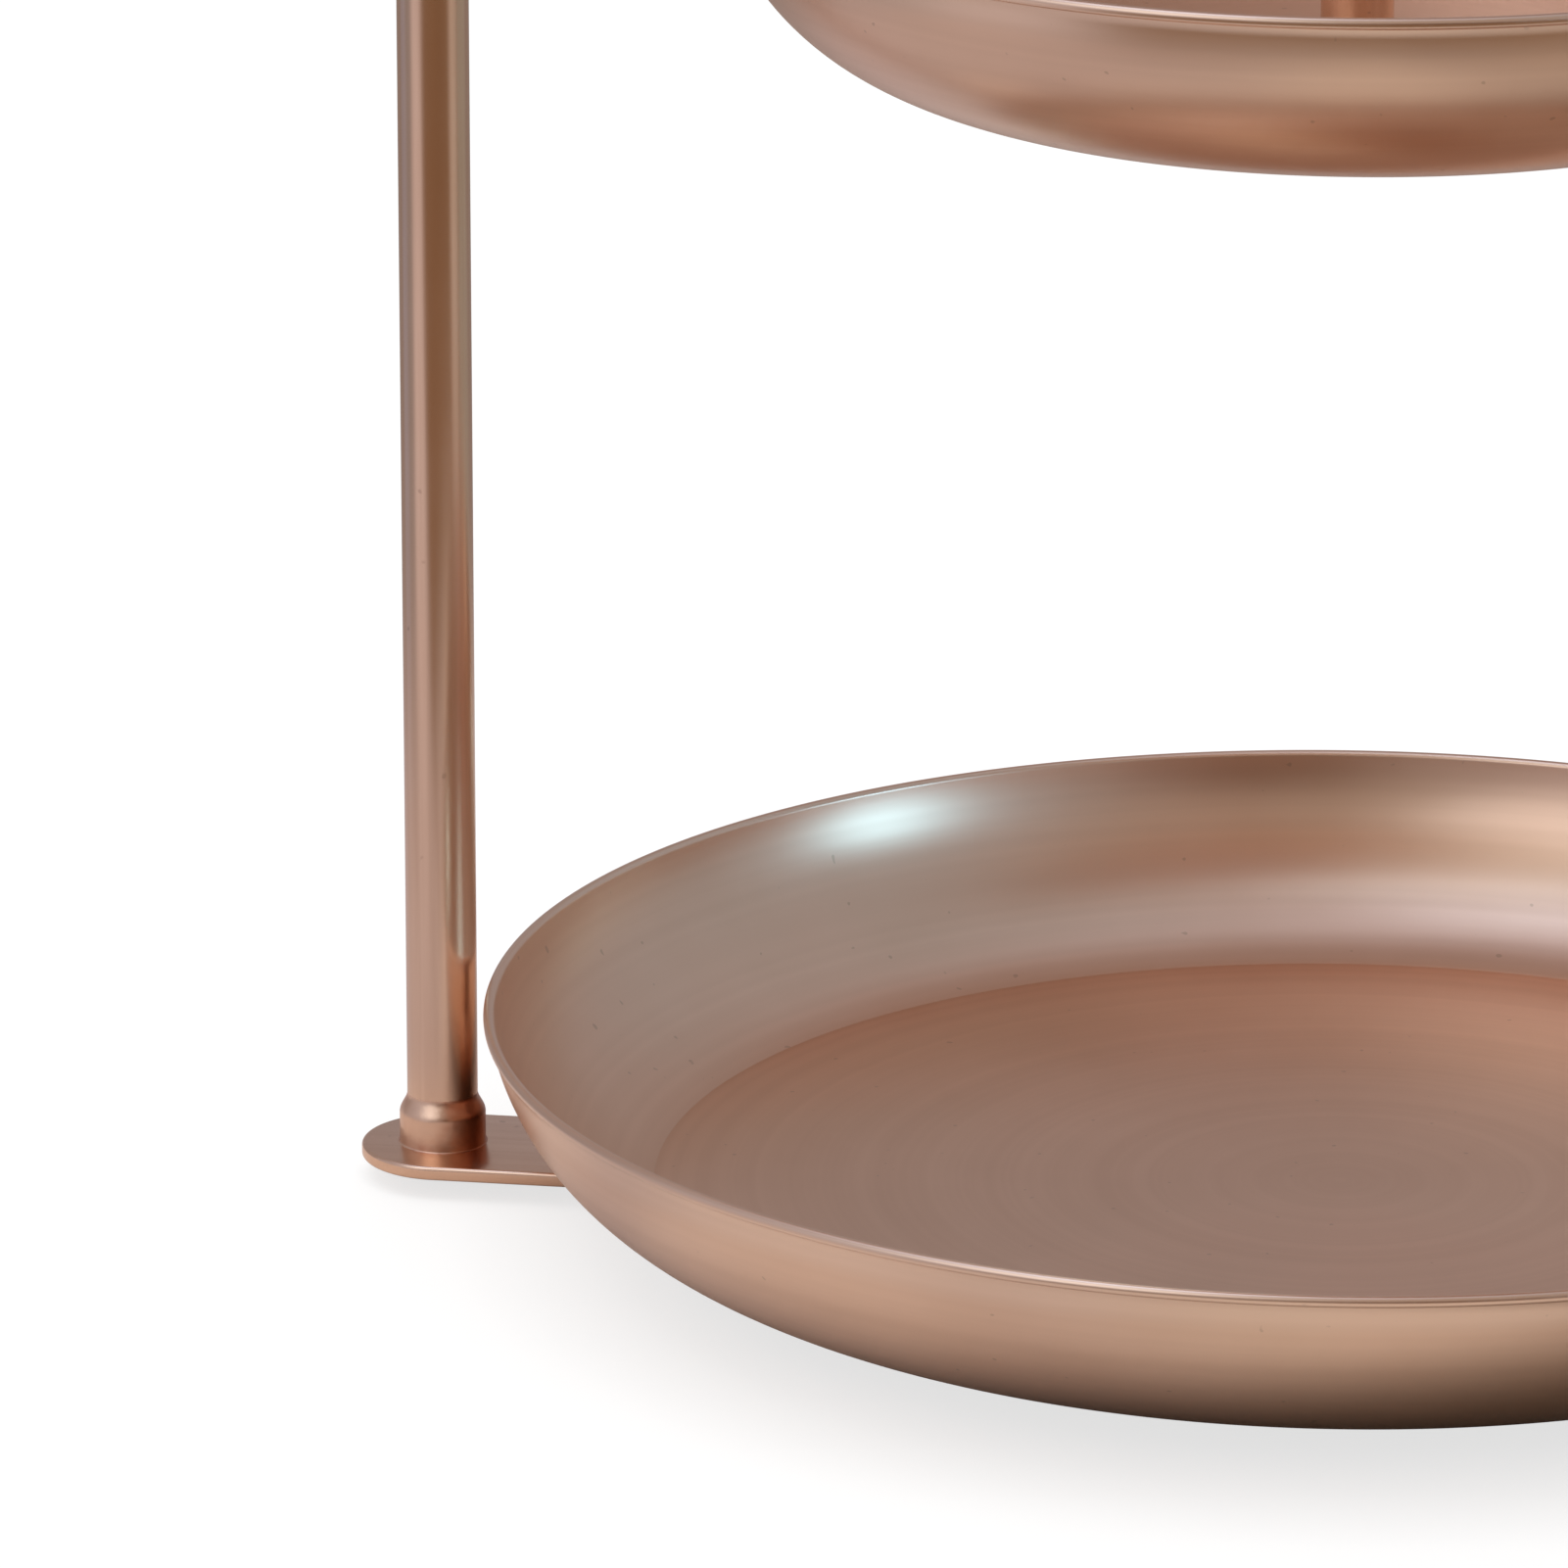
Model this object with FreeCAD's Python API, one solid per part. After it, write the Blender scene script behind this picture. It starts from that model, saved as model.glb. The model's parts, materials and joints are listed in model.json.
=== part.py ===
import FreeCAD, Part
import os
from math import acos, asin, atan2, copysign, cos, hypot, pi, radians, sin

# Two-tier cake stand in copper-plated steel. A flat bar lies on the table, two posts stand on its
# round ends, a half-round bow joins them over the top and a centre rod hangs the upper tray.
# Millimetres, +Z up, X along the bar, origin on the table under the middle of the stand.

# ---- driving dimensions -------------------------------------------------------------------------

# trays
lower_tray_radius = 120.0
upper_tray_radius = 88.5
tray_depth = 27.0            # underside to the top of the rim
sheet = 1.0                  # floor and wall of both trays
wall_reach = 23.6            # how far the rim stands out past the edge of the floor
wall_swing = 62.0            # degrees that the wall's curve turns on its way up
rim_bead = 1.6               # diameter of the edge, which is rolled outwards
crease_round = 0.8           # outside corner where the floor turns into the wall
tier_rise = 163.0            # underside of the lower tray to underside of the upper one

# bar and feet
bar_width = 24.2
bar_end_inset = 0.6          # end rounds' centres, inboard of the posts
bar_thick = 2.0
bar_edge_round = 0.5
pad_height = 3.0             # rubber under the bar
pad_diameter = 10.0
pad_chamfer = 0.6
bar_pad_inset = 36.0         # post axis to bar pad axis
bumper_spread = 50.0         # bumper axes from the centre, along X and along Y

# posts, bow and rod are cut from one tube
tube_diameter = 10.0
tube_wall = 1.0
post_length = 175.0
bow_leg = 20.0               # straight ends of the bow, below its half circle
rim_gap = 3.0                # lower tray's rim to the side of each post
joiner_length = 30.0
joiner_chamfer = 0.8

# ferrules round the feet of the posts
ferrule_diameter = 12.2
ferrule_height = 7.4
ferrule_straight = 4.4       # straight part below the flare
ferrule_lip = 0.15           # thickness left at the top edge

# threaded plugs inside the tube ends, and the screws in them
plug_length = 14.0
plug_chamfer = 0.6
screw_diameter = 5.0
screw_grip = 11.0            # length of screw inside a plug
foot_head_diameter = 9.5
foot_head_height = 2.0
socket_across = 3.0          # hexagon socket, across flats
foot_socket_depth = 1.3

# top of the bow
saddle_washer_diameter = 13.0
saddle_washer_height = 2.4   # from the crown of the bow to the washer's flat top
top_head_diameter = 11.0
top_head_height = 3.6
top_socket_depth = 2.0
rod_saddle_diameter = 14.0
rod_saddle_web = 3.0         # metal between the bow and the end of the rod
rod_saddle_skirt = 6.0       # how far it comes down round the rod
rod_saddle_round = 1.2

# swivel under the rod
shoulder_diameter = 8.0
glide_washer_diameter = 13.0
glide_washer_thick = 0.8
pivot_head_diameter = 15.0
pivot_head_height = 3.2
pivot_socket_depth = 1.6

# lower tray's fixings
stud_diameter = 4.0
stud_offset = 35.0           # stud axes from the centre, along the bar
nut_across = 7.0
nut_height = 2.1

# clearances
slide_fit = 0.05             # radial, tube parts that slide together
thread_fit = 0.05            # radial, screws in threads
swivel_fit = 0.08            # radial, tray on its shoulder
swivel_play = 0.2            # end play of the tray on its shoulder
screw_hole_play = 0.25       # radial, screws and studs through plain holes
saddle_fit = 0.02            # saddles on the bow

# ---- levels and places --------------------------------------------------------------------------

tube_radius = tube_diameter / 2
bore_radius = tube_radius - tube_wall
screw_radius = screw_diameter / 2
screw_hole_radius = screw_radius + screw_hole_play
thread_radius = screw_radius + thread_fit
plug_radius = bore_radius - slide_fit

bar_top = pad_height + bar_thick
post_x = lower_tray_radius + rim_gap + tube_radius
post_top = bar_top + post_length
bow_spring = post_top + bow_leg
bow_crown = bow_spring + post_x + tube_radius
bow_underside = bow_crown - tube_diameter

upper_tray_z = bar_top + tier_rise
rod_foot = upper_tray_z + sheet + swivel_play + glide_washer_thick
rod_top = bow_underside - rod_saddle_web
pivot_seat = upper_tray_z - glide_washer_thick


# ---- shape helpers ------------------------------------------------------------------------------

def at(x, y, z):
    return FreeCAD.Vector(x, y, z)


UP = at(0, 0, 1)


def line(a, b):
    return Part.makeLine(at(a[0], 0, a[1]), at(b[0], 0, b[1]))


def arc(a, through, b):
    points = [at(p[0], 0, p[1]) for p in (a, through, b)]
    return Part.Arc(*points).toShape()


def turned(edges):
    """Solid turned about Z from a closed section of (radius, height) edges."""
    section = Part.Face(Part.Wire(edges))
    return section.revolve(at(0, 0, 0), UP, 360)


def polygon(points):
    closed = points + points[:1]
    return [line(a, b) for a, b in zip(closed, closed[1:])]


def rod(radius, low, high, x=0.0, y=0.0):
    return Part.makeCylinder(radius, high - low, at(x, y, low), UP)


def ring(outer, inner, low, high):
    return turned(polygon([(inner, low), (outer, low), (outer, high), (inner, high)]))


def hexagon(across, low, high):
    corner = across / 2 / cos(pi / 6)
    points = [at(corner * cos(k * pi / 3), corner * sin(k * pi / 3), low) for k in range(7)]
    return Part.Face(Part.makePolygon(points)).extrude(at(0, 0, high - low))


def moved(shape, x=0.0, y=0.0, z=0.0):
    copy = shape.copy()
    copy.translate(at(x, y, z))
    return copy


def domed_head(radius, seat, height):
    """Screw head shaped as a cap of a sphere, upwards or, with a negative height, downwards."""
    sphere = (radius ** 2 + height ** 2) / 2 / abs(height)
    up = copysign(1, height)
    centre = seat + height - up * sphere
    half_angle = asin(radius / sphere) / 2
    middle = (sphere * sin(half_angle), centre + up * sphere * cos(half_angle))
    crown = (0, seat + height)
    return turned([line((0, seat), (radius, seat)), arc((radius, seat), middle, crown), line(crown, (0, seat))])


def edges_at(shape, height, radius=None):
    """Edges that lie flat at one height, and on one radius if it is given."""
    found = []
    for edge in shape.Edges:
        box = edge.BoundBox
        flat = abs(box.ZMin - height) < 1e-4 and abs(box.ZMax - height) < 1e-4
        if flat and (radius is None or abs(box.XMax - radius) < 1e-3):
            found.append(edge)
    return found


def save(shape, node):
    shape.exportStep("parts/" + node + ".step")


# ---- trays --------------------------------------------------------------------------------------

def wall_curve(radius):
    """Centre and radius of the arc that runs up the middle of a tray's wall."""
    start = (radius - wall_reach, sheet / 2)
    end = (radius - rim_bead + sheet / 2, tray_depth - rim_bead / 2)
    run = end[0] - start[0]
    rise = end[1] - start[1]
    chord = hypot(run, rise)
    half_swing = radians(wall_swing) / 2
    curve = chord / 2 / sin(half_swing)
    first_slope = atan2(rise, run) - half_swing
    centre = (start[0] - curve * sin(first_slope), start[1] + curve * cos(first_slope))
    return centre, curve, first_slope


def tray(radius, hole_radius):
    """Dish with a flat floor, a crease, one curved wall of even thickness and a rolled rim."""
    centre, curve, first_slope = wall_curve(radius)
    last_slope = first_slope + radians(wall_swing)

    def on_wall(offset, slope):
        reach = curve + offset
        return centre[0] + reach * sin(slope), centre[1] - reach * cos(slope)

    def slope_at(offset, height):
        return acos((centre[1] - height) / (curve + offset))

    outer_start = slope_at(sheet / 2, 0)
    inner_start = slope_at(-sheet / 2, sheet)
    outside = [on_wall(sheet / 2, s) for s in (outer_start, (outer_start + last_slope) / 2, last_slope)]
    inside = [on_wall(-sheet / 2, s) for s in (inner_start, (inner_start + last_slope) / 2, last_slope)]
    section = [
        line((hole_radius, 0), outside[0]),
        arc(*outside),
        line(outside[2], inside[2]),
        arc(*reversed(inside)),
        line(inside[0], (hole_radius, sheet)),
        line((hole_radius, sheet), (hole_radius, 0)),
    ]
    dish = turned(section)
    crease = edges_at(dish, 0, outside[0][0])
    dish = dish.makeFillet(crease_round, crease)
    bead = Part.makeTorus(radius - rim_bead / 2, rim_bead / 2, at(0, 0, tray_depth - rim_bead / 2), UP)
    return dish.fuse(bead).removeSplitter()


# ---- bar and feet -------------------------------------------------------------------------------

def base_bar():
    """Flat bar with full-round ends, drilled for the post screws and the tray's studs."""
    half = bar_width / 2
    end_x = post_x - bar_end_inset
    corners = [at(-end_x, -half, 0), at(end_x, -half, 0), at(end_x, half, 0), at(-end_x, half, 0)]
    outline = Part.Wire([
        Part.makeLine(corners[0], corners[1]),
        Part.Arc(corners[1], at(end_x + half, 0, 0), corners[2]).toShape(),
        Part.makeLine(corners[2], corners[3]),
        Part.Arc(corners[3], at(-end_x - half, 0, 0), corners[0]).toShape(),
    ])
    bar = Part.Face(outline).extrude(at(0, 0, bar_thick))
    bar = bar.makeFillet(bar_edge_round, edges_at(bar, bar_thick) + edges_at(bar, 0))
    stud_hole = stud_diameter / 2 + screw_hole_play
    for x, radius in ((post_x, screw_hole_radius), (stud_offset, stud_hole)):
        for side in (-1, 1):
            bar = bar.cut(rod(radius, 0, bar_thick, side * x))
    return moved(bar, z=pad_height)


def rubber_foot(height):
    foot = rod(pad_diameter / 2, 0, height)
    return foot.makeChamfer(pad_chamfer, edges_at(foot, 0))


def foot_ferrule():
    """Flared ring brazed on the bar round the foot of a post."""
    hole = tube_radius + slide_fit
    skirt = ferrule_diameter / 2
    lip = hole + ferrule_lip
    half_width = (skirt - lip) / 2
    half_rise = (ferrule_height - ferrule_straight) / 2
    turn = 2 * atan2(half_width, half_rise)
    curve = half_rise / sin(turn)
    inset = curve * (1 - cos(turn / 2))
    reach = curve * sin(turn / 2)
    middle = (skirt - half_width, ferrule_straight + half_rise)
    section = [
        line((hole, 0), (skirt, 0)),
        line((skirt, 0), (skirt, ferrule_straight)),
        arc((skirt, ferrule_straight), (skirt - inset, ferrule_straight + reach), middle),
        arc(middle, (lip + inset, ferrule_height - reach), (lip, ferrule_height)),
        line((lip, ferrule_height), (hole, ferrule_height)),
        line((hole, ferrule_height), (hole, 0)),
    ]
    return moved(turned(section), z=bar_top)


def foot_screw():
    """Low-headed socket screw, up through the bar into the post's plug."""
    head = rod(foot_head_diameter / 2, pad_height - foot_head_height, pad_height)
    head = head.makeChamfer(foot_head_height / 3, edges_at(head, pad_height - foot_head_height))
    socket_floor = pad_height - foot_head_height + foot_socket_depth
    head = head.cut(hexagon(socket_across, pad_height - foot_head_height, socket_floor))
    shank = rod(screw_radius, pad_height, bar_top + screw_grip)
    return head.fuse(shank)


# ---- tubes --------------------------------------------------------------------------------------

def plug(low, high):
    """Threaded plug pressed into a tube end."""
    edge = plug_radius - plug_chamfer
    return turned([
        line((thread_radius, low), (edge, low)),
        line((edge, low), (plug_radius, low + plug_chamfer)),
        line((plug_radius, low + plug_chamfer), (plug_radius, high - plug_chamfer)),
        line((plug_radius, high - plug_chamfer), (edge, high)),
        line((edge, high), (thread_radius, high)),
        line((thread_radius, high), (thread_radius, low)),
    ])


def joiner():
    """Plain spigot inside the seam between a post and the bow."""
    spigot = rod(plug_radius, post_top - joiner_length / 2, post_top + joiner_length / 2)
    ends = edges_at(spigot, post_top - joiner_length / 2) + edges_at(spigot, post_top + joiner_length / 2)
    return spigot.makeChamfer(joiner_chamfer, ends)


def half_ring(radius):
    """Round bar bent through the half circle at the top of the bow."""
    circle = Part.makeCircle(radius, at(post_x, 0, bow_spring), UP)
    return Part.Face(Part.Wire([circle])).revolve(at(0, 0, bow_spring), at(0, -1, 0), 180)


def bow():
    """Half circle of tube with two straight legs, drilled at its crown for the top screw."""
    leg = ring(tube_radius, bore_radius, post_top, bow_spring)
    tube = half_ring(tube_radius).cut(half_ring(bore_radius))
    tube = tube.fuse([moved(leg, -post_x), moved(leg, post_x)]).removeSplitter()
    return tube.cut(rod(screw_hole_radius, bow_underside - tube_wall, bow_crown + tube_wall))


# ---- top of the rod -----------------------------------------------------------------------------

def saddle_washer():
    """Round washer hollowed underneath to sit on the crown of the bow."""
    top = bow_crown + saddle_washer_height
    washer = rod(saddle_washer_diameter / 2, bow_crown - tube_radius / 2, top)
    washer = washer.makeChamfer(saddle_washer_height / 3, edges_at(washer, top))
    washer = washer.cut(half_ring(tube_radius + saddle_fit))
    return washer.cut(rod(screw_hole_radius, bow_underside, top))


def top_screw():
    """Domed socket screw down through the bow and the saddle into the rod."""
    seat = bow_crown + saddle_washer_height
    crown = seat + top_head_height
    head = domed_head(top_head_diameter / 2, seat, top_head_height)
    head = head.cut(hexagon(socket_across, crown - top_socket_depth, crown))
    return head.fuse(rod(screw_radius, rod_top - screw_grip, seat))


def rod_saddle():
    """Socket under the bow that takes the top of the rod."""
    low = rod_top - rod_saddle_skirt
    body = rod(rod_saddle_diameter / 2, low, bow_underside + tube_radius / 2)
    body = body.makeFillet(rod_saddle_round, edges_at(body, low))
    body = body.cut(half_ring(tube_radius + saddle_fit))
    body = body.cut(rod(tube_radius + slide_fit, low, rod_top))
    return body.cut(rod(screw_hole_radius, low, bow_crown))


# ---- swivel under the rod -----------------------------------------------------------------------

def glide_washer(low):
    return ring(glide_washer_diameter / 2, shoulder_diameter / 2 + slide_fit, low, low + glide_washer_thick)


def pivot_screw():
    """Shoulder screw: the tray turns on its shoulder and rests on its broad domed head."""
    low = pivot_seat - pivot_head_height
    head = domed_head(pivot_head_diameter / 2, pivot_seat, -pivot_head_height)
    head = head.cut(hexagon(socket_across, low, low + pivot_socket_depth))
    neck = rod(shoulder_diameter / 2, pivot_seat, rod_foot)
    thread = rod(screw_radius, rod_foot, rod_foot + screw_grip)
    return head.fuse([neck, thread])


# ---- lower tray's fixings -----------------------------------------------------------------------

def pair(shape):
    """The same piece on both studs."""
    return Part.makeCompound([moved(shape, side * stud_offset) for side in (-1, 1)])


def studs():
    return pair(rod(stud_diameter / 2, pad_height - nut_height, bar_top))


def nuts():
    nut = hexagon(nut_across, pad_height - nut_height, pad_height)
    return pair(nut.cut(rod(stud_diameter / 2 + thread_fit, pad_height - nut_height, pad_height)))


# ---- the stand ----------------------------------------------------------------------------------

os.makedirs("parts", exist_ok=True)

save(base_bar(), "base_bar")
post = ring(tube_radius, bore_radius, bar_top, post_top)
for name, side in (("left", -1), ("right", 1)):
    x = side * post_x
    save(moved(foot_ferrule(), x), name + "_foot_ferrule")
    save(moved(post, x), name + "_post")
    save(moved(plug(bar_top, bar_top + plug_length), x), name + "_foot_plug")
    save(moved(foot_screw(), x), name + "_foot_screw")
    save(moved(joiner(), x), name + "_joiner")
    save(moved(rubber_foot(pad_height), side * (post_x - bar_pad_inset)), name + "_bar_pad")
    for end, depth in (("front", -1), ("back", 1)):
        bumper = moved(rubber_foot(bar_top), side * bumper_spread, depth * bumper_spread)
        save(bumper, end + "_" + name + "_bumper")

save(moved(tray(lower_tray_radius, 0), z=bar_top), "lower_tray")
save(studs(), "lower_tray_studs")
save(nuts(), "lower_tray_nuts")

save(bow(), "bow")
save(saddle_washer(), "saddle_washer")
save(top_screw(), "top_screw")
save(rod_saddle(), "rod_saddle")
save(ring(tube_radius, bore_radius, rod_foot, rod_top), "centre_rod")
save(plug(rod_top - plug_length, rod_top), "rod_top_plug")
save(plug(rod_foot, rod_foot + plug_length), "rod_foot_plug")

save(glide_washer(rod_foot - glide_washer_thick), "upper_glide_washer")
save(glide_washer(pivot_seat), "lower_glide_washer")
save(pivot_screw(), "pivot_screw")
hub_hole = shoulder_diameter / 2 + swivel_fit
save(moved(tray(upper_tray_radius, hub_hole), z=upper_tray_z), "upper_tray")
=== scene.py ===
import json
from math import acos, atan2, cos, hypot, pi, radians, sin

import bpy
from mathutils import Matrix, Vector


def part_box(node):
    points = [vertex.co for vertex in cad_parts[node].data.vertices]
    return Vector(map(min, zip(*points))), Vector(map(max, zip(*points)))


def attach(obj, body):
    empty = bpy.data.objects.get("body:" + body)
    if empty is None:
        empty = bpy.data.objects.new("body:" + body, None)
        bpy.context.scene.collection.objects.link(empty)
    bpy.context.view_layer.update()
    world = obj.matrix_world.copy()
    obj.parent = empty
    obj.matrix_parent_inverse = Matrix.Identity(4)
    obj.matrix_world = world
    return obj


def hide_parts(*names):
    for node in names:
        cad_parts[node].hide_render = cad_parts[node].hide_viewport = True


# Two-tier cake stand in copper plate: the finishes, finer meshes for the pieces that show, and a white
# studio whose canopy and table mat give the satin metal something to mirror.

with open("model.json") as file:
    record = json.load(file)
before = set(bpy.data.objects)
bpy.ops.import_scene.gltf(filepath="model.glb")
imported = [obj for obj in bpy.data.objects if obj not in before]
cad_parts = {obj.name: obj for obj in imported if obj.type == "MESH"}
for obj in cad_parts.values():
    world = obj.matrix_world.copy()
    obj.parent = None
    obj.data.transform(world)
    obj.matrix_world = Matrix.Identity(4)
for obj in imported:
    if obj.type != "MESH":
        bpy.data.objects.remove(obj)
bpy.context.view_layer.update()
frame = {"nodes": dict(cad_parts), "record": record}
nodes = frame["nodes"]
slots = {part["node"]: part["material_slot"] for part in frame["record"]["subparts"]}

# ---------------------------------------------------------------- sizes of the stand, in metres
MM = 0.001

# pressed trays
SHEET = 1.0 * MM
WALL_REACH = 23.6 * MM       # how far the rim stands out past the edge of the floor
WALL_SWING = radians(62)     # how far the wall's curve turns on its way up
CREASE = 0.8 * MM            # corner between floor and wall, on the upper side
BEAD = 1.6 * MM              # diameter of the rolled rim
TUCK = 0.1 * MM              # how far out from its lowest point the roll ends
PIVOT_HOLE = 4.08 * MM       # radius of the hole in the upper tray
LOWER_TRAY_SIDES = 288
UPPER_TRAY_SIDES = 240

# collars brazed round the feet of the posts
SKIRT = 6.1 * MM             # radius of the straight part
SKIRT_HEIGHT = 4.4 * MM
COLLAR_HEIGHT = 7.4 * MM
BRAZE = 0.25 * MM            # bead of braze between collar and bar
COLLAR_SIDES = 64

# tubes of the posts, the bow and the rod
TUBE_RADIUS = 5.0 * MM
TUBE_WALL = 1.0 * MM
SEAM = 0.15 * MM             # taken off the sharp ends
TUBE_SIDES = 72
BEND_STEPS = 120

# flat bar
BAR_THICK = 2.0 * MM
BAR_EDGE = 0.5 * MM
BAR_ROUND_SIDES = 130        # not a multiple of 4, so that no corner lies on the line between the ends

JOIN_WITHIN = 0.001 * MM     # corners closer than this are one

# ---------------------------------------------------------------- camera
LENS = 269.8
CAMERA_PLACE = (0.1670, -1.5492, 0.5547)
CAMERA_YAW = radians(9.022)
CAMERA_TILT = radians(72.508)


def make_camera():
    """A long lens, looking down on the left side of the stand from in front and above its top."""
    bpy.ops.object.camera_add()
    camera = bpy.context.object
    camera.name = "camera"
    camera.data.lens = LENS
    camera.data.sensor_width = 36
    camera.data.clip_start = 0.05
    camera.data.clip_end = 30
    camera.data.dof.use_dof = False
    camera.matrix_world = (Matrix.Translation(CAMERA_PLACE)
                           @ Matrix.Rotation(CAMERA_YAW, 4, "Z")
                           @ Matrix.Rotation(CAMERA_TILT, 4, "X"))
    bpy.context.scene.camera = camera


# ---------------------------------------------------------------- shader helpers
def srgb(red, green, blue):
    """A colour picked on a 0 to 255 scale, as the shader wants it."""
    def linear(value):
        value = value / 255
        if value <= 0.04045:
            return value / 12.92
        return ((value + 0.055) / 1.055) ** 2.4
    return (linear(red), linear(green), linear(blue), 1.0)


class Shader:
    """The nodes of a material or of the world, with short ways to add them and join them."""

    def __init__(self, name, world=False):
        owners = bpy.data.worlds if world else bpy.data.materials
        self.owner = owners.new(name)
        self.owner.use_nodes = True
        self.tree = self.owner.node_tree
        self.tree.nodes.clear()
        self.output = self.add("ShaderNodeOutputWorld" if world else "ShaderNodeOutputMaterial")

    def add(self, kind, inputs=None, **settings):
        """A new node. Each input is a plain value for its socket, or another node's output to join to it."""
        node = self.tree.nodes.new(kind)
        for name, value in settings.items():
            setattr(node, name, value)
        for name, value in (inputs or {}).items():
            if isinstance(value, (int, float, tuple, Vector)):
                node.inputs[name].default_value = value
            else:
                self.tree.links.new(value, node.inputs[name])
        return node

    def end_in(self, shader):
        self.tree.links.new(shader.outputs[0], self.output.inputs["Surface"])

    def position(self):
        return self.add("ShaderNodeTexCoord").outputs["Object"]

    def noise(self, place, scale, detail, rough):
        inputs = {"Vector": place, "Scale": scale, "Detail": detail, "Roughness": rough}
        return self.add("ShaderNodeTexNoise", inputs).outputs["Fac"]

    def stretched(self, place, scale):
        return self.add("ShaderNodeMapping", {"Vector": place, "Scale": scale}).outputs["Vector"]

    def spread(self, value, across, to=(0.0, 1.0), smooth=False):
        """Takes one range of values to another, and stays at its ends beyond them."""
        inputs = {"Value": value, "From Min": across[0], "From Max": across[1],
                  "To Min": to[0], "To Max": to[1]}
        step = "SMOOTHSTEP" if smooth else "LINEAR"
        return self.add("ShaderNodeMapRange", inputs, interpolation_type=step).outputs["Result"]

    def maths(self, operation, *values):
        return self.add("ShaderNodeMath", dict(enumerate(values)), operation=operation).outputs["Value"]

    def vector_maths(self, operation, *values):
        node = self.add("ShaderNodeVectorMath", dict(enumerate(values)), operation=operation)
        return node.outputs["Value" if operation in ("DISTANCE", "DOT_PRODUCT") else "Vector"]

    def apart(self, place):
        parts = self.add("ShaderNodeSeparateXYZ", {0: place}).outputs
        return parts["X"], parts["Y"], parts["Z"]

    def together(self, **axes):
        return self.add("ShaderNodeCombineXYZ", axes).outputs[0]

    def hypotenuse(self, first, second):
        squares = self.maths("MULTIPLY", first, first), self.maths("MULTIPLY", second, second)
        return self.maths("SQRT", self.maths("ADD", *squares))

    def blended(self, amount, first, second, mode="MIX"):
        """The first colour where the amount is 0 and the second where it is 1."""
        inputs = {0: amount, 6: first, 7: second}
        return self.add("ShaderNodeMix", inputs, data_type="RGBA", blend_type=mode).outputs[2]

    def bump(self, height, distance, strength):
        inputs = {"Height": height, "Distance": distance, "Strength": strength}
        return self.add("ShaderNodeBump", inputs).outputs["Normal"]

    def surface(self, colour, rough, normal, metallic=1.0):
        """Ends in the principled shader and gives the finished material."""
        inputs = {"Base Color": colour, "Metallic": metallic, "Roughness": rough, "Normal": normal}
        self.end_in(self.add("ShaderNodeBsdfPrincipled", inputs))
        return self.owner


# ---------------------------------------------------------------- finishes
COPPER = srgb(235, 198, 171)
SPUN_DARK = srgb(226, 188, 160)
DRAWN_DARK = srgb(226, 187, 159)
BRAZED = srgb(235, 195, 167)
BRAZED_DARK = srgb(223, 181, 151)
RUDDY = srgb(236, 186, 156)
BROWN = srgb(182, 141, 112)
SPECK = srgb(100, 68, 52)
HANDLED = srgb(240, 210, 187)
HEAT_RED = srgb(194, 118, 86)
# painted reflection: the brown of the dark tray as mirrored on the collars' inboard side
TRAY_REFLECTION_BROWN = srgb(150, 88, 60)

GRIME_FULL = 0.3 * MM        # grime beside a tray's crease: full this far from it,
GRIME_END = 1.8 * MM         # and none from here
HANDLED_END = 2.2 * MM       # polish inside a tray's rim: none this far in,
HANDLED_FULL = 1.2 * MM      # and full from here out
TRAY_REFLECTION_FULL = 5.5 * MM        # painted reflection of the dark tray on a collar's inboard side: full this far inboard of the post's axis,
TRAY_REFLECTION_END = 0.5 * MM         # and none this far outboard
DRAW = 0.02                  # how much slower a hairline changes along the metal than across it


def copper_tones(m, place, base, dark):
    """Copper plate: slow clouds of tone, a ruddier bloom here and there, and a few specks."""
    cloud = m.noise(place, scale=22, detail=3, rough=0.55)
    bloom = m.noise(place, scale=11, detail=2, rough=0.5)
    specks = m.noise(place, scale=520, detail=1, rough=0.4)
    colour = m.blended(m.spread(cloud, (0.3, 0.72)), dark, base)
    colour = m.blended(m.spread(bloom, (0.5, 0.7), (0, 0.3), smooth=True), colour, RUDDY)
    colour = m.blended(m.spread(specks, (0.77, 0.8), (0, 0.25)), colour, SPECK)
    return colour, cloud


def spun_finish(name, rim):
    """Satin tray: fine rings left by the spinning tool, a grimy crease and a rim polished by handling."""
    m = Shader(name)
    place = m.position()
    colour, cloud = copper_tones(m, place, COPPER, SPUN_DARK)
    x, y, z = m.apart(place)
    radius = m.hypotenuse(x, y)
    rings = m.noise(m.together(X=radius, Z=z), scale=420, detail=2, rough=0.5)
    colour = m.blended(m.spread(rings, (0.35, 0.65), (0, 0.1)), colour, BROWN)
    from_crease = m.maths("ABSOLUTE", m.maths("SUBTRACT", radius, rim - WALL_REACH))
    grime = m.spread(from_crease, (GRIME_FULL, GRIME_END), (0.22, 0), smooth=True)
    colour = m.blended(m.maths("MULTIPLY", grime, cloud), colour, BROWN)
    handled = m.spread(radius, (rim - HANDLED_END, rim - HANDLED_FULL), (0, 0.35), smooth=True)
    colour = m.blended(handled, colour, HANDLED)
    wear = m.maths("ADD", cloud, m.maths("MULTIPLY", rings, 0.5))
    rough = m.spread(wear, (0.45, 1.0), (0.278, 0.32))
    return m.surface(colour, rough, m.bump(rings, distance=0.02 * MM, strength=0.2))


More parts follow.
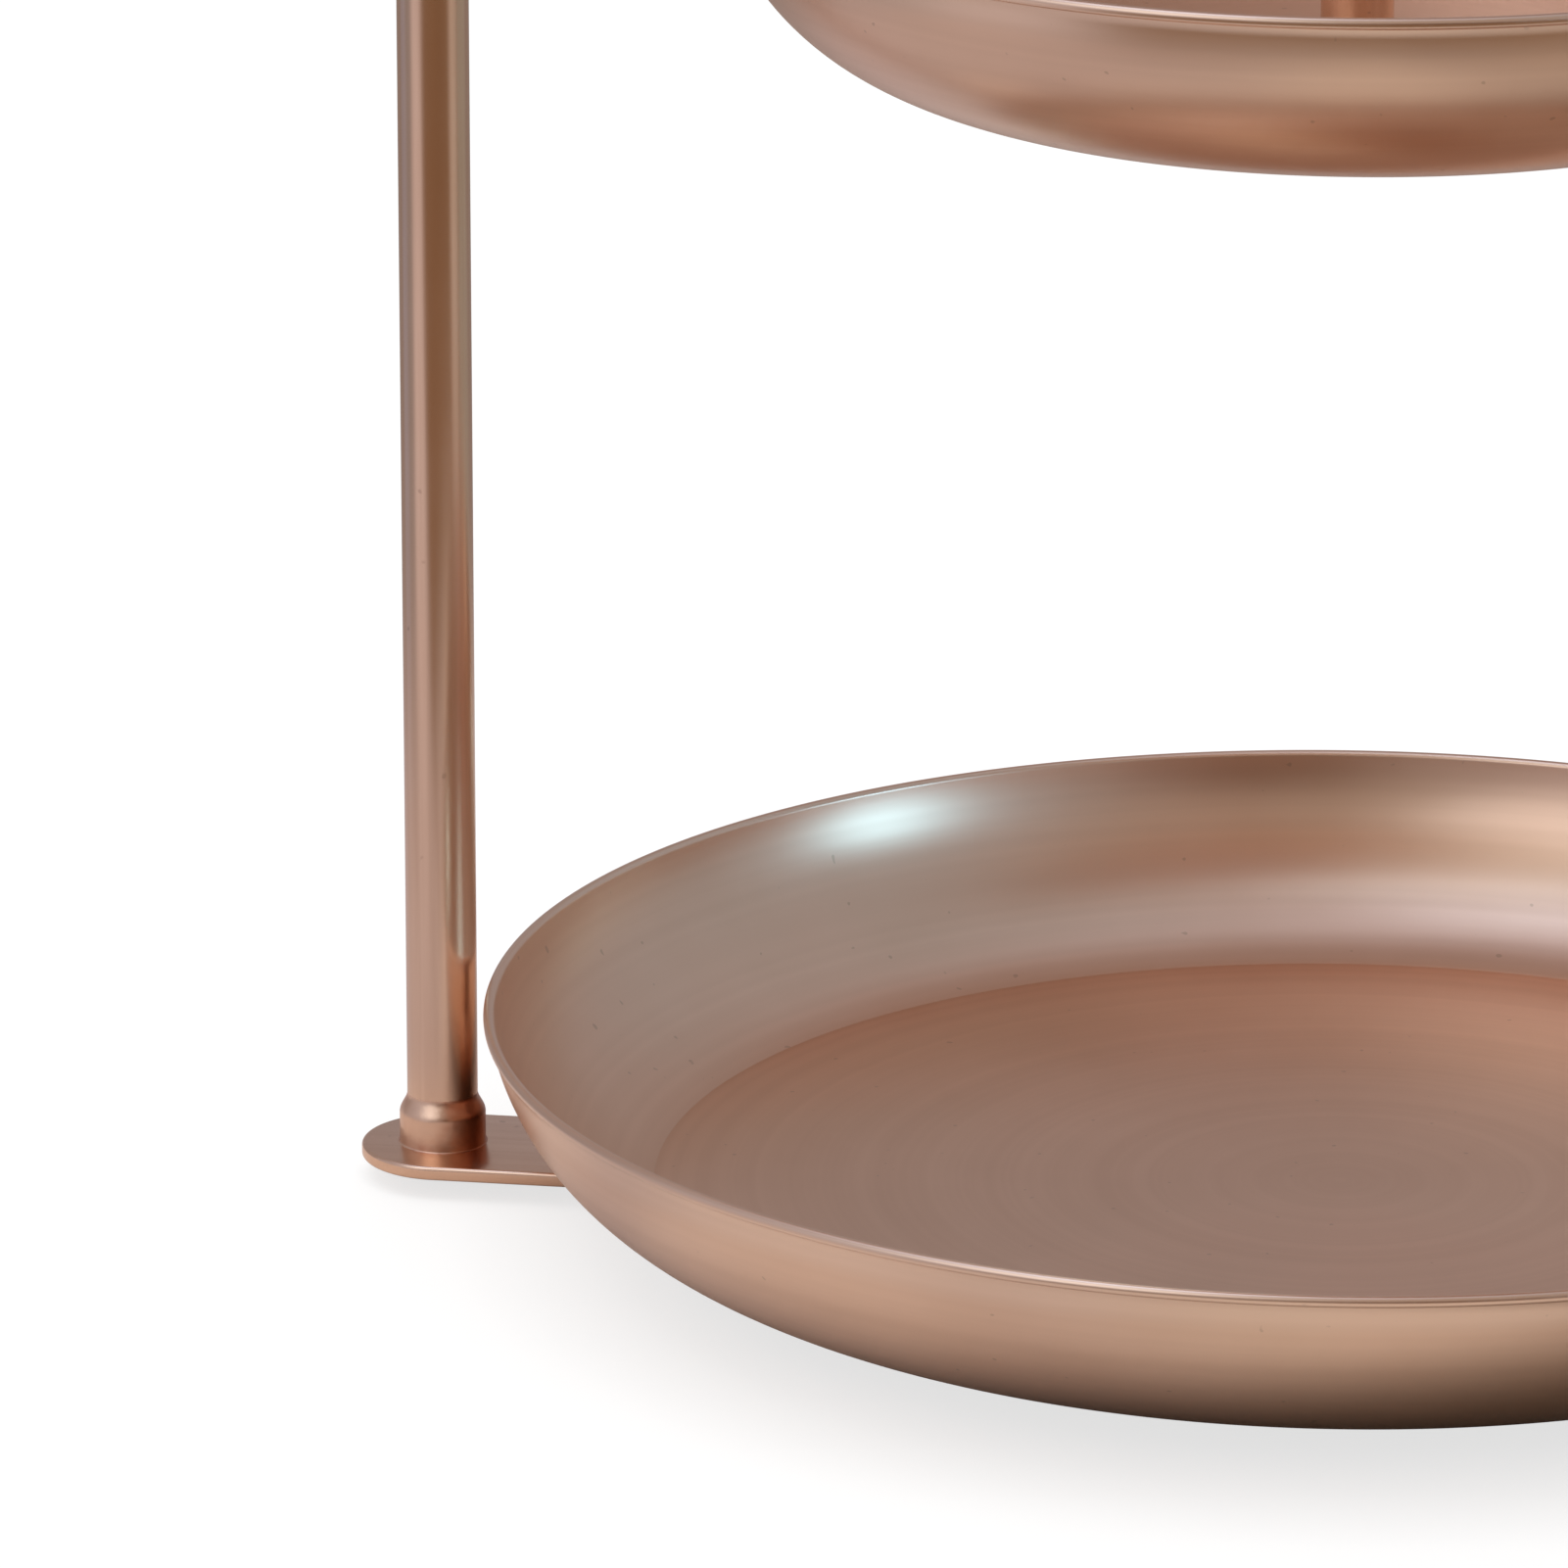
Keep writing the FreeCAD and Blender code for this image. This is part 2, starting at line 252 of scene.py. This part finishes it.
def drawn_finish(name, streak_place):
    """Drawn tube and rolled strip: hairlines run the way that the metal was pulled."""
    m = Shader(name)
    place = m.position()
    colour, cloud = copper_tones(m, place, COPPER, DRAWN_DARK)
    hair = m.noise(streak_place(m, place), scale=900, detail=3, rough=0.6)
    colour = m.blended(m.spread(hair, (0.35, 0.65), (0, 0.16)), colour, BROWN)
    wear = m.maths("ADD", cloud, m.maths("MULTIPLY", hair, 0.6))
    rough = m.spread(wear, (0.5, 1.1), (0.19, 0.268))
    return m.surface(colour, rough, m.bump(hair, distance=0.02 * MM, strength=0.3))


def along_z(m, place):
    return m.stretched(place, (1, 1, DRAW))


def along_x(m, place):
    return m.stretched(place, (DRAW, 1, 1))


def along_bow(m, place):
    """Up the posts and over the bow: the streaks keep to one side of the tube all the way."""
    low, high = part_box("bow")
    spring = high.z - (high.x - low.x) / 2
    x, y, z = m.apart(place)
    climb = m.maths("MAXIMUM", m.maths("SUBTRACT", z, spring), 0.0)
    return m.together(X=m.hypotenuse(x, climb), Y=y, Z=m.maths("MULTIPLY", z, DRAW))


def unstretched(m, place):
    return place


def brazed_finish(name, post_x):
    """Collars: the torch left red tints and a skin of small lumps; the inboard side gets a painted reflection
    of the dark tray in brown.
    """
    m = Shader(name)
    place = m.position()
    colour = copper_tones(m, place, BRAZED, BRAZED_DARK)[0]
    heat = m.noise(place, scale=150, detail=3, rough=0.6)
    colour = m.blended(m.spread(heat, (0.42, 0.68), (0, 0.6), smooth=True), colour, HEAT_RED)
    # painted reflection of the dark tray: the collar's inboard side turns brown
    outwards = m.maths("ABSOLUTE", m.apart(place)[0])
    tray_reflection = m.spread(outwards, (post_x - TRAY_REFLECTION_FULL, post_x + TRAY_REFLECTION_END), (0.8, 0), smooth=True)
    colour = m.blended(tray_reflection, colour, TRAY_REFLECTION_BROWN)
    lumps = m.noise(place, scale=700, detail=2, rough=0.5)
    rough = m.spread(lumps, (0.3, 0.7), (0.278, 0.36))
    return m.surface(colour, rough, m.bump(lumps, distance=0.12 * MM, strength=0.5))


def cloudy_finish(name, base, shade, grain, rough, lump, strength, metallic):
    """Small fittings: a fine cloud of shade and of roughness, over a skin of tiny lumps."""
    m = Shader(name)
    place = m.position()
    cloud = m.noise(place, scale=grain, detail=3, rough=0.6)
    shaded = tuple(channel * shade for channel in base[:3]) + (1.0,)
    colour = m.blended(m.spread(cloud, (0.3, 0.7)), shaded, base)
    lumps = m.noise(place, scale=1400, detail=2, rough=0.5)
    return m.surface(colour, m.spread(cloud, (0.3, 0.7), rough), m.bump(lumps, lump, strength), metallic)


def plated_steel(name, base, rough):
    return cloudy_finish(name, base, 0.8, 400, rough, lump=0.01 * MM, strength=0.3, metallic=1.0)


def moulding(name, base, rough):
    return cloudy_finish(name, base, 0.75, 300, rough, lump=0.03 * MM, strength=0.4, metallic=0.0)


def dress(piece, material):
    piece.data.materials.clear()
    piece.data.materials.append(material)


# ---------------------------------------------------------------- modelling helpers
def deselect_all():
    bpy.ops.object.select_all(action="DESELECT")


def edit_mode():
    bpy.ops.object.mode_set(mode="EDIT")


def object_mode():
    bpy.ops.object.mode_set(mode="OBJECT")


def select_mesh():
    bpy.ops.mesh.select_all(action="SELECT")


def merge_doubles():
    select_mesh()
    bpy.ops.mesh.remove_doubles(threshold=JOIN_WITHIN)


def face_outwards():
    select_mesh()
    bpy.ops.mesh.normals_make_consistent(inside=False)


def extrude_by(step):
    bpy.ops.mesh.extrude_region_move(TRANSFORM_OT_translate={"value": step})


def smooth_below(degrees):
    """Shades the piece smooth, apart from edges that turn more than this."""
    bpy.ops.object.shade_smooth_by_angle(angle=radians(degrees))


def on_arc(centre, radius, start, end, steps):
    """Points along an arc, by the slope of the surface there: 0 lies flat, a right angle stands upright."""
    slopes = [start + (end - start) * k / steps for k in range(steps + 1)]
    return [(centre[0] + radius * sin(a), centre[1] - radius * cos(a)) for a in slopes]


def turned(name, section, sides, axis_x=0.0):
    """A section of (radius, height) points, spun once round an upright axis."""
    deselect_all()
    bpy.ops.mesh.primitive_plane_add(size=MM)
    piece = bpy.context.object
    piece.name = name
    edit_mode()
    bpy.ops.mesh.merge(type="CENTER")
    bpy.ops.transform.translate(value=(axis_x + section[0][0], 0, section[0][1]))
    for here, there in zip(section, section[1:]):
        step = (there[0] - here[0], 0, there[1] - here[1])
        bpy.ops.mesh.extrude_vertices_move(TRANSFORM_OT_translate={"value": step})
    select_mesh()
    bpy.ops.mesh.spin(steps=sides, angle=2 * pi, center=(axis_x, 0, 0), axis=(0, 0, 1))
    merge_doubles()
    face_outwards()
    object_mode()
    smooth_below(35)
    return piece


def takes_over(piece, node, material):
    """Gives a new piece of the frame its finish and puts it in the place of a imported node."""
    dress(piece, material)
    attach(piece, "frame")
    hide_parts(node)


# ---------------------------------------------------------------- trays
def dish_section(node, hole):
    """Half section of a tray: floor, crease, wall, rolled rim, and back down the outside."""
    low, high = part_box(node)
    rim = high.x
    foot = low.z
    top = high.z

    # the wall's middle line is an arc from the edge of the floor to the rolled rim
    start = (rim - WALL_REACH, foot + SHEET / 2)
    end = (rim - BEAD + SHEET / 2, top - BEAD / 2)
    run = end[0] - start[0]
    rise = end[1] - start[1]
    curve = hypot(run, rise) / 2 / sin(WALL_SWING / 2)
    first = atan2(rise, run) - WALL_SWING / 2
    last = first + WALL_SWING
    centre = (start[0] - curve * sin(first), start[1] + curve * cos(first))
    inner = curve - SHEET / 2
    outer = curve + SHEET / 2

    # the crease rounds the corner where that arc meets the floor
    round_z = foot + SHEET + CREASE
    lean = acos((centre[1] - round_z) / (inner - CREASE))
    round_centre = (centre[0] + (inner - CREASE) * sin(lean), round_z)

    roll = BEAD / 2
    bead = (rim - roll, top - roll)
    tuck_slope = acos((centre[1] - (bead[1] - roll)) / outer)

    floor_rings = 10
    wall_steps = 26
    roll_turns = [radians(k) for k in range(15, 241, 15)]
    floor_radii = [hole + (round_centre[0] - hole) * k / floor_rings for k in range(floor_rings)]
    section = [(radius, foot + SHEET) for radius in floor_radii]
    section += on_arc(round_centre, CREASE, 0, lean, 4)
    section += on_arc(centre, inner, lean, last, wall_steps)[1:]
    section += [(bead[0] - roll * cos(turn), bead[1] + roll * sin(turn)) for turn in roll_turns]
    section.append((bead[0] + TUCK, bead[1] - roll + TUCK / 2))
    section += on_arc(centre, outer, tuck_slope, lean, wall_steps)
    section += on_arc(round_centre, CREASE + SHEET, lean, 0, 5)[1:]
    section += [(radius, foot) for radius in reversed(floor_radii)]
    if hole:
        section.append(section[0])
    return section


def make_trays():
    lower = turned("lower_tray_dish", dish_section("lower_tray", 0.0), LOWER_TRAY_SIDES)
    upper = turned("upper_tray_dish", dish_section("upper_tray", PIVOT_HOLE), UPPER_TRAY_SIDES)
    for piece, node, body in ((lower, "lower_tray", "frame"), (upper, "upper_tray", "upper_tray")):
        dress(piece, spun_finish("copper_" + node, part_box(node)[1].x))
        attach(piece, body)
        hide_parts(node)


# ---------------------------------------------------------------- collars
def collar_section(seat):
    """Half section of a collar: bead of braze, straight skirt, and a soft taper that runs into the tube."""
    rise = COLLAR_HEIGHT - SKIRT_HEIGHT
    width = SKIRT - TUBE_RADIUS
    steps = 16
    braze_turns = [radians(k) for k in range(0, 91, 9)]
    section = [(TUBE_RADIUS, seat)]
    section += [(SKIRT + BRAZE * (1 - sin(turn)), seat + BRAZE * (1 - cos(turn))) for turn in braze_turns]
    section += [(TUBE_RADIUS + width * (1 + cos(pi * k / steps)) / 2, seat + SKIRT_HEIGHT + rise * k / steps)
                for k in range(steps + 1)]
    section.append(section[0])
    return section


def make_collars():
    """The collars brazed round the feet of the posts."""
    for side in ("left", "right"):
        low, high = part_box(side + "_post")
        axis_x = (low.x + high.x) / 2
        piece = turned(side + "_foot_collar", collar_section(low.z), COLLAR_SIDES, axis_x)
        dress(piece, brazed_finish("copper_" + side + "_collar", abs(axis_x)))
        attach(piece, "frame")
        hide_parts(side + "_foot_ferrule")


# ---------------------------------------------------------------- tubes and bar
def make_straight_tube(node, material):
    """A cut length of tube with its sharp ends taken off."""
    low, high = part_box(node)
    bore = TUBE_RADIUS - TUBE_WALL
    section = [(bore, low.z), (TUBE_RADIUS - SEAM, low.z), (TUBE_RADIUS, low.z + SEAM),
               (TUBE_RADIUS, high.z - SEAM), (TUBE_RADIUS - SEAM, high.z), (bore, high.z), (bore, low.z)]
    piece = turned(node + "_tube", section, TUBE_SIDES, (low.x + high.x) / 2)
    takes_over(piece, node, material)


def make_bow(material):
    """Tube bent over a half circle between two straight legs."""
    low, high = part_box("bow")
    reach = (high.x - low.x) / 2
    spring = high.z - reach
    leg = spring - low.z
    deselect_all()
    bpy.ops.mesh.primitive_circle_add(vertices=TUBE_SIDES, radius=TUBE_RADIUS,
                                      location=(TUBE_RADIUS - reach, 0, low.z))
    piece = bpy.context.object
    piece.name = "bow_tube"
    bpy.ops.object.transform_apply(location=True)
    edit_mode()
    select_mesh()
    extrude_by((0, 0, leg))
    bpy.ops.mesh.spin(steps=BEND_STEPS, angle=-pi, center=(0, 0, spring), axis=(0, 1, 0))
    extrude_by((0, 0, -leg))
    merge_doubles()
    face_outwards()
    object_mode()
    wall = piece.modifiers.new("wall", "SOLIDIFY")
    wall.thickness = TUBE_WALL
    wall.offset = -1
    bpy.ops.object.modifier_apply(modifier=wall.name)
    smooth_below(35)
    takes_over(piece, "bow", material)


def make_bar(material):
    """Flat strip with full-round ends and softened edges: a disc whose halves are pulled apart."""
    low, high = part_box("base_bar")
    radius = (high.y - low.y) / 2
    shift = high.x - radius
    deselect_all()
    bpy.ops.mesh.primitive_circle_add(vertices=BAR_ROUND_SIDES, radius=radius, fill_type="NGON",
                                      location=(0, 0, low.z))
    piece = bpy.context.object
    piece.name = "bar_strip"
    bpy.ops.object.transform_apply(location=True)
    for side in (-1, 1):
        for vertex in piece.data.vertices:
            vertex.select = vertex.co.x * side > 0
        piece.data.polygons[0].select = False
        for edge in piece.data.edges:
            edge.select = False
        edit_mode()
        bpy.ops.mesh.select_mode(type="VERT")
        bpy.ops.transform.translate(value=(side * shift, 0, 0))
        object_mode()
    edit_mode()
    select_mesh()
    extrude_by((0, 0, BAR_THICK))
    face_outwards()
    object_mode()
    soften = piece.modifiers.new("edges", "BEVEL")
    soften.width = BAR_EDGE
    soften.segments = 5
    soften.limit_method = "ANGLE"
    soften.angle_limit = radians(60)
    bpy.ops.object.modifier_apply(modifier=soften.name)
    smooth_below(40)
    takes_over(piece, "base_bar", material)


# ---------------------------------------------------------------- small fittings
FITTINGS = ("saddle_washer", "top_screw", "rod_saddle", "pivot_screw", "upper_glide_washer",
            "lower_glide_washer", "left_foot_screw", "right_foot_screw", "left_bar_pad", "right_bar_pad",
            "front_left_bumper", "front_right_bumper", "back_left_bumper", "back_right_bumper")


def make_smooth_copy(node, material):
    """A copy of a small packed fitting with its loose triangles joined, so that light runs over it."""
    piece = nodes[node].copy()
    piece.data = nodes[node].data.copy()
    piece.name = node + "_finished"
    bpy.context.collection.objects.link(piece)
    deselect_all()
    piece.hide_render = False
    piece.select_set(True)
    bpy.context.view_layer.objects.active = piece
    edit_mode()
    merge_doubles()
    object_mode()
    smooth_below(32)
    takes_over(piece, node, material)


# ---------------------------------------------------------------- stage and light
RIGHT = Vector((cos(CAMERA_YAW), sin(CAMERA_YAW), 0))
AWAY = Vector((-sin(CAMERA_YAW), cos(CAMERA_YAW), 0))
UP = Vector((0, 0, 1))
DIMMER = 0.76                # on the canopy and the mat


def aimed(right, away, up):
    """Direction by how far it goes to the camera's right, away from the camera, and up."""
    return (RIGHT * right + AWAY * away + UP * up).normalized()


def aimed_round(across, height):
    """Direction out from the stand: degrees round to the right from the camera, and degrees up."""
    turn = radians(across)
    rise = radians(height)
    return aimed(sin(turn) * cos(rise), -cos(turn) * cos(rise), sin(rise))


def shown(m):
    """At least 1 for a ray that shows what it meets, straight or in the metal, and 0 for one that lights."""
    paths = m.add("ShaderNodeLightPath").outputs
    straight_or_mirrored = m.maths("ADD", paths["Is Camera Ray"], paths["Is Glossy Ray"])
    return m.maths("ADD", straight_or_mirrored, paths["Is Transmission Ray"])


def only_in_metal(card, material):
    """A card that shapes what the metal mirrors, and neither shows nor shades anything itself."""
    dress(card, material)
    card.visible_camera = False
    card.visible_diffuse = False
    card.visible_shadow = False


def along(m, way, direction):
    """How far a way goes in a direction."""
    return m.vector_maths("DOT_PRODUCT", way, direction)


def patch(m, way, under, direction, full, none, paint):
    """Paints a soft round patch: full strength out to one angle from its middle, nothing past another."""
    edge = (cos(radians(none)), cos(radians(full)))
    return m.blended(m.spread(along(m, way, direction), edge, smooth=True), under, paint)


def light_pool(m, place, under, spot, full, none, paint):
    """Paints a soft pool of light on the table: full strength out to one distance from its spot, none past
    another.
    """
    distance = m.vector_maths("DISTANCE", place, spot)
    return m.blended(m.spread(distance, (full, none), smooth=True), paint, under)


AMBIENT = 0.9


def make_world():
    """White wherever it shows, and a little dimmer as light."""
    m = Shader("studio", world=True)
    level = m.spread(shown(m), (0, 1), (AMBIENT, 1.0))
    m.end_in(m.add("ShaderNodeBackground", {"Color": (1, 1, 1, 1), "Strength": level}))
    bpy.context.scene.world = m.owner


FLOOR_SIZE = 7
FLOOR_GREY = 0.3
FLOOR_GLOW = 0.72


def make_floor():
    """White table top: it glows evenly where it shows, and keeps the stand's soft shadow."""
    bpy.ops.mesh.primitive_plane_add(size=FLOOR_SIZE, location=(0, 0, 0))
    floor = bpy.context.object
    floor.name = "floor"
    m = Shader("floor_white")
    diffuse = m.add("ShaderNodeBsdfDiffuse", {"Color": (FLOOR_GREY, FLOOR_GREY, FLOOR_GREY, 1)})
    strength = m.maths("MULTIPLY", m.maths("MINIMUM", shown(m), 1.0), FLOOR_GLOW)
    glow = m.add("ShaderNodeEmission", {"Strength": strength})
    m.end_in(m.add("ShaderNodeAddShader", {0: diffuse.outputs[0], 1: glow.outputs[0]}))
    dress(floor, m.owner)


CANOPY_RADIUS = 3.2
CANOPY_GREY = (0.48, 0.45, 0.48, 1)
CANOPY_TOP = (0.95, 0.98, 1.22, 1)
CANOPY_TOP_EDGE = (0.66, 0.90)                    # how far up the way points where grey turns to top

# soft patches on the canopy: degrees round and up to the middle, full out to, none past, paint
CANOPY_PATCHES = (
    (90, 34, 28, 62, (0.53, 0.59, 0.69, 1)),      # right side
    (-70, 12, 22, 46, (0.70, 0.71, 0.84, 1)),     # left side, paler
    (6, 44, 18, 40, (0.55, 0.48, 0.44, 1)),       # above the camera, warm
    (-41, 38, 12, 27, (1.65, 1.8, 2.0, 1)),       # bright, high at the front left
    (-80, 73, 6, 17, (1.75, 2.2, 3.0, 1)),        # bright and bluish, nearly overhead
    (10, 5, 8, 24, (0.16, 0.08, 0.045, 1)),       # dark brown, low round the camera
    (180, 55, 12, 24, (0.45, 0.35, 0.34, 1)),     # dim, high behind the stand
    (65.5, 12.5, 3, 12, (2.7, 5.4, 8.0, 1)),      # small, bright and blue, low at the front right
)


def make_canopy():
    """A grey tent over the table: paler overhead and to the sides, dark round the camera."""
    bpy.ops.mesh.primitive_uv_sphere_add(segments=64, ring_count=32, radius=CANOPY_RADIUS)
    canopy = bpy.context.object
    canopy.name = "canopy"
    m = Shader("canopy_grey")
    way = m.vector_maths("NORMALIZE", m.position())
    colour = m.blended(m.spread(along(m, way, UP), CANOPY_TOP_EDGE, smooth=True), CANOPY_GREY, CANOPY_TOP)
    for across, height, full, none, paint in CANOPY_PATCHES:
        colour = patch(m, way, colour, aimed_round(across, height), full, none, paint)
    m.end_in(m.add("ShaderNodeEmission", {"Color": colour, "Strength": DIMMER}))
    m.owner.cycles.emission_sampling = "NONE"
    only_in_metal(canopy, m.owner)


MAT_SIZE = 6.4
MAT_LIFT = 0.8 * MM
POST_SPOT = Vector((-0.126, 0, 0))                # at the foot of the left post
MIDDLE = Vector((0, 0, 0))

# near the stand: one paint far out on the left, which turns into another towards the middle
NEAR_LEFT = (0.68, 0.64, 0.69, 1)
NEAR_RIGHT = (0.84, 0.80, 0.82, 1)
NEAR_EDGE = (-0.16, -0.06)

# painted pools of light: middle, full out to, none past, paint
POST_LIGHT_POOL = (POST_SPOT, 0.02, 0.06, (0.95, 0.85, 0.81, 1))
FRONT_LIGHT_POOL = (AWAY * -0.17, 0.03, 0.09, (0.90, 0.86, 0.84, 1))
LEFT_LIGHT_POOL = (RIGHT * -0.09 + AWAY * -0.07, 0.02, 0.055, (0.94, 0.90, 0.91, 1))

# far out: soft sectors, with degrees round to the middle, full out to, none past, paint
FAR_PAINT = (0.37, 0.37, 0.41, 1)
FAR_SECTORS = (
    (180, 40, 75, (0.36, 0.32, 0.31, 1)),         # behind the stand
    (92, 20, 40, (0.44, 0.46, 0.45, 1)),          # right
    (-52, 8, 28, (0.78, 0.75, 0.83, 1)),          # front left, pale
    (-110, 6, 16, (0.42, 0.45, 0.58, 1)),         # left, bluish
    (58, 8, 26, (0.66, 0.62, 0.60, 1)),           # front right
)
NEAR_TO_FAR = (0.12, 0.36)                        # from the post's spot

# brown towards the camera
BROWN_PAINT = (0.28, 0.18, 0.11, 1)
BROWN_SECTOR = (54, 38)                           # degrees off the way to the camera: none past, full within
BROWN_START = (0.246, 0.27)                       # from the middle of the stand

# shade of the lower tray
SHADE_PAINT = (0.13, 0.085, 0.04, 1)
SHADE_EDGE = (0.094, 0.135)
SHADE_LEFT_THROUGH = 0.2                          # how much of the mat shows even under the tray
SHADE_LEAN = 0.3                                  # how much further the shade reaches to the right


def far_mat(m, place):
    """Away from the stand, the mat's colour goes by the direction from the left post."""
    way = m.vector_maths("NORMALIZE", m.vector_maths("SUBTRACT", place, POST_SPOT))
    colour = FAR_PAINT
    for across, full, none, paint in FAR_SECTORS:
        colour = patch(m, way, colour, aimed_round(across, 0), full, none, paint)
    return colour


def near_mat(m, place):
    """Close to the stand, the mat is pale, a little darker on its left, with a painted pool of light at the
    foot of the left post.
    """
    side = m.spread(along(m, place, RIGHT), NEAR_EDGE, smooth=True)
    return light_pool(m, place, m.blended(side, NEAR_LEFT, NEAR_RIGHT), *POST_LIGHT_POOL)


def make_table_mat():
    """What the metal sees of the table: pale near the stand, dim further off, brown ahead of the camera, with
    painted pools of light and a painted shade under the lower tray.
    """
    bpy.ops.mesh.primitive_plane_add(size=MAT_SIZE, location=(0, 0, MAT_LIFT))
    mat = bpy.context.object
    mat.name = "table_mat"
    bpy.ops.object.transform_apply(location=True)
    m = Shader("table_grey")
    place = m.position()
    going_out = m.spread(m.vector_maths("DISTANCE", place, POST_SPOT), NEAR_TO_FAR, smooth=True)
    colour = m.blended(going_out, near_mat(m, place), far_mat(m, place))
    # painted pools of light in front of the stand and to its left
    colour = light_pool(m, place, colour, *FRONT_LIGHT_POOL)
    colour = light_pool(m, place, colour, *LEFT_LIGHT_POOL)

    way = m.vector_maths("NORMALIZE", place)
    distance = m.vector_maths("DISTANCE", place, MIDDLE)
    sector = [cos(radians(angle)) for angle in BROWN_SECTOR]
    ahead = m.spread(along(m, way, -AWAY), sector, smooth=True)
    beyond = m.spread(distance, BROWN_START, smooth=True)
    colour = m.blended(m.maths("MULTIPLY", ahead, beyond), colour, BROWN_PAINT)

    reach = m.maths("SUBTRACT", distance, m.maths("MULTIPLY", along(m, place, RIGHT), SHADE_LEAN))
    lit = m.spread(reach, SHADE_EDGE, (SHADE_LEFT_THROUGH, 1.0), smooth=True)
    colour = m.blended(lit, SHADE_PAINT, colour)
    colour = m.blended(1.0, colour, (DIMMER, DIMMER, DIMMER, 1), "MULTIPLY")
    m.end_in(m.add("ShaderNodeBsdfDiffuse", {"Color": colour}))
    only_in_metal(mat, m.owner)


CARD_RADIUS = 76 * MM
CARD_GAP = 1.5 * MM                               # from the upper tray down to the card
CARD_LIGHT = RIGHT * -10 + AWAY * 5               # the card grows brighter along this
CARD_LIGHT_EDGE = (0.04, 0.5)
CARD_GREY = (0.86, 0.89, 0.86, 1)
CARD_BLUE = (1.65, 2.15, 2.75, 1)
CARD_BLUE_EDGE = (0.028, 0.07)                    # going away from the camera


def make_glow_card():
    """A card under the upper tray for the lower tray to mirror: its back left glows, and only downwards."""
    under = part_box("upper_tray")[0].z - CARD_GAP
    bpy.ops.mesh.primitive_circle_add(vertices=64, radius=CARD_RADIUS, fill_type="NGON",
                                      location=(0, 0, under))
    card = bpy.context.object
    card.name = "glow_card"
    bpy.ops.object.transform_apply(location=True)
    m = Shader("card_glow")
    place = m.position()
    back_left = m.spread(along(m, place, CARD_LIGHT), CARD_LIGHT_EDGE, smooth=True)
    from_below = m.add("ShaderNodeNewGeometry").outputs["Backfacing"]
    amount = m.maths("MULTIPLY", back_left, from_below)
    back = m.spread(along(m, place, AWAY), CARD_BLUE_EDGE, smooth=True)
    colour = m.blended(back, CARD_GREY, CARD_BLUE)
    clear = m.add("ShaderNodeBsdfTransparent").outputs[0]
    light = m.add("ShaderNodeEmission", {"Color": colour}).outputs[0]
    m.end_in(m.add("ShaderNodeMixShader", {0: amount, 1: clear, 2: light}))
    m.owner.cycles.emission_sampling = "NONE"
    only_in_metal(card, m.owner)


LAMP_WAY = (-0.25, -0.1, 1.0)                     # right, away and up
LAMP_DISTANCE = 1.6
LAMP_AIM = Vector((0, 0, 0.05))
LAMP_SIZE = 1.3
LAMP_POWER = 9


def make_softbox():
    """Large soft lamp overhead, a little to the left and in front. The metal doesn't mirror it."""
    direction = aimed(*LAMP_WAY)
    bpy.ops.object.light_add(type="AREA")
    lamp = bpy.context.object
    lamp.name = "softbox"
    lamp.data.shape = "RECTANGLE"
    lamp.data.size = LAMP_SIZE
    lamp.data.size_y = LAMP_SIZE
    lamp.data.energy = LAMP_POWER
    lamp.location = direction * LAMP_DISTANCE + LAMP_AIM
    lamp.rotation_euler = direction.to_track_quat("Z", "Y").to_euler()
    lamp.visible_glossy = False


# ---------------------------------------------------------------- the stand on its stage
make_camera()
make_world()
make_floor()
make_canopy()
make_table_mat()
make_glow_card()
make_softbox()

tube_copper = drawn_finish("copper_tube", along_bow)
rod_copper = drawn_finish("copper_rod", along_z)
bar_copper = drawn_finish("copper_bar", along_x)
fitting_copper = drawn_finish("copper_fittings", unstretched)
steel = plated_steel("zinc_plate", srgb(178, 176, 170), (0.29, 0.43))
nylon = moulding("nylon", srgb(140, 116, 98), (0.32, 0.48))
rubber = moulding("rubber", srgb(38, 37, 36), (0.67, 0.83))
finishes = {"copper_trays": fitting_copper, "copper_frame": fitting_copper, "plain_steel": steel,
            "glide_washers": nylon, "rubber_feet": rubber}
own_finish = {"left_post": tube_copper, "right_post": tube_copper, "bow": tube_copper,
              "centre_rod": rod_copper, "base_bar": bar_copper}
for node, slot in slots.items():
    dress(nodes[node], own_finish.get(node) or finishes[slot])

make_trays()
make_collars()
make_straight_tube("left_post", tube_copper)
make_straight_tube("right_post", tube_copper)
make_straight_tube("centre_rod", rod_copper)
make_bow(tube_copper)
make_bar(bar_copper)
for node in FITTINGS:
    make_smooth_copy(node, finishes[slots[node]])

bpy.context.scene.view_settings.view_transform = "Standard"
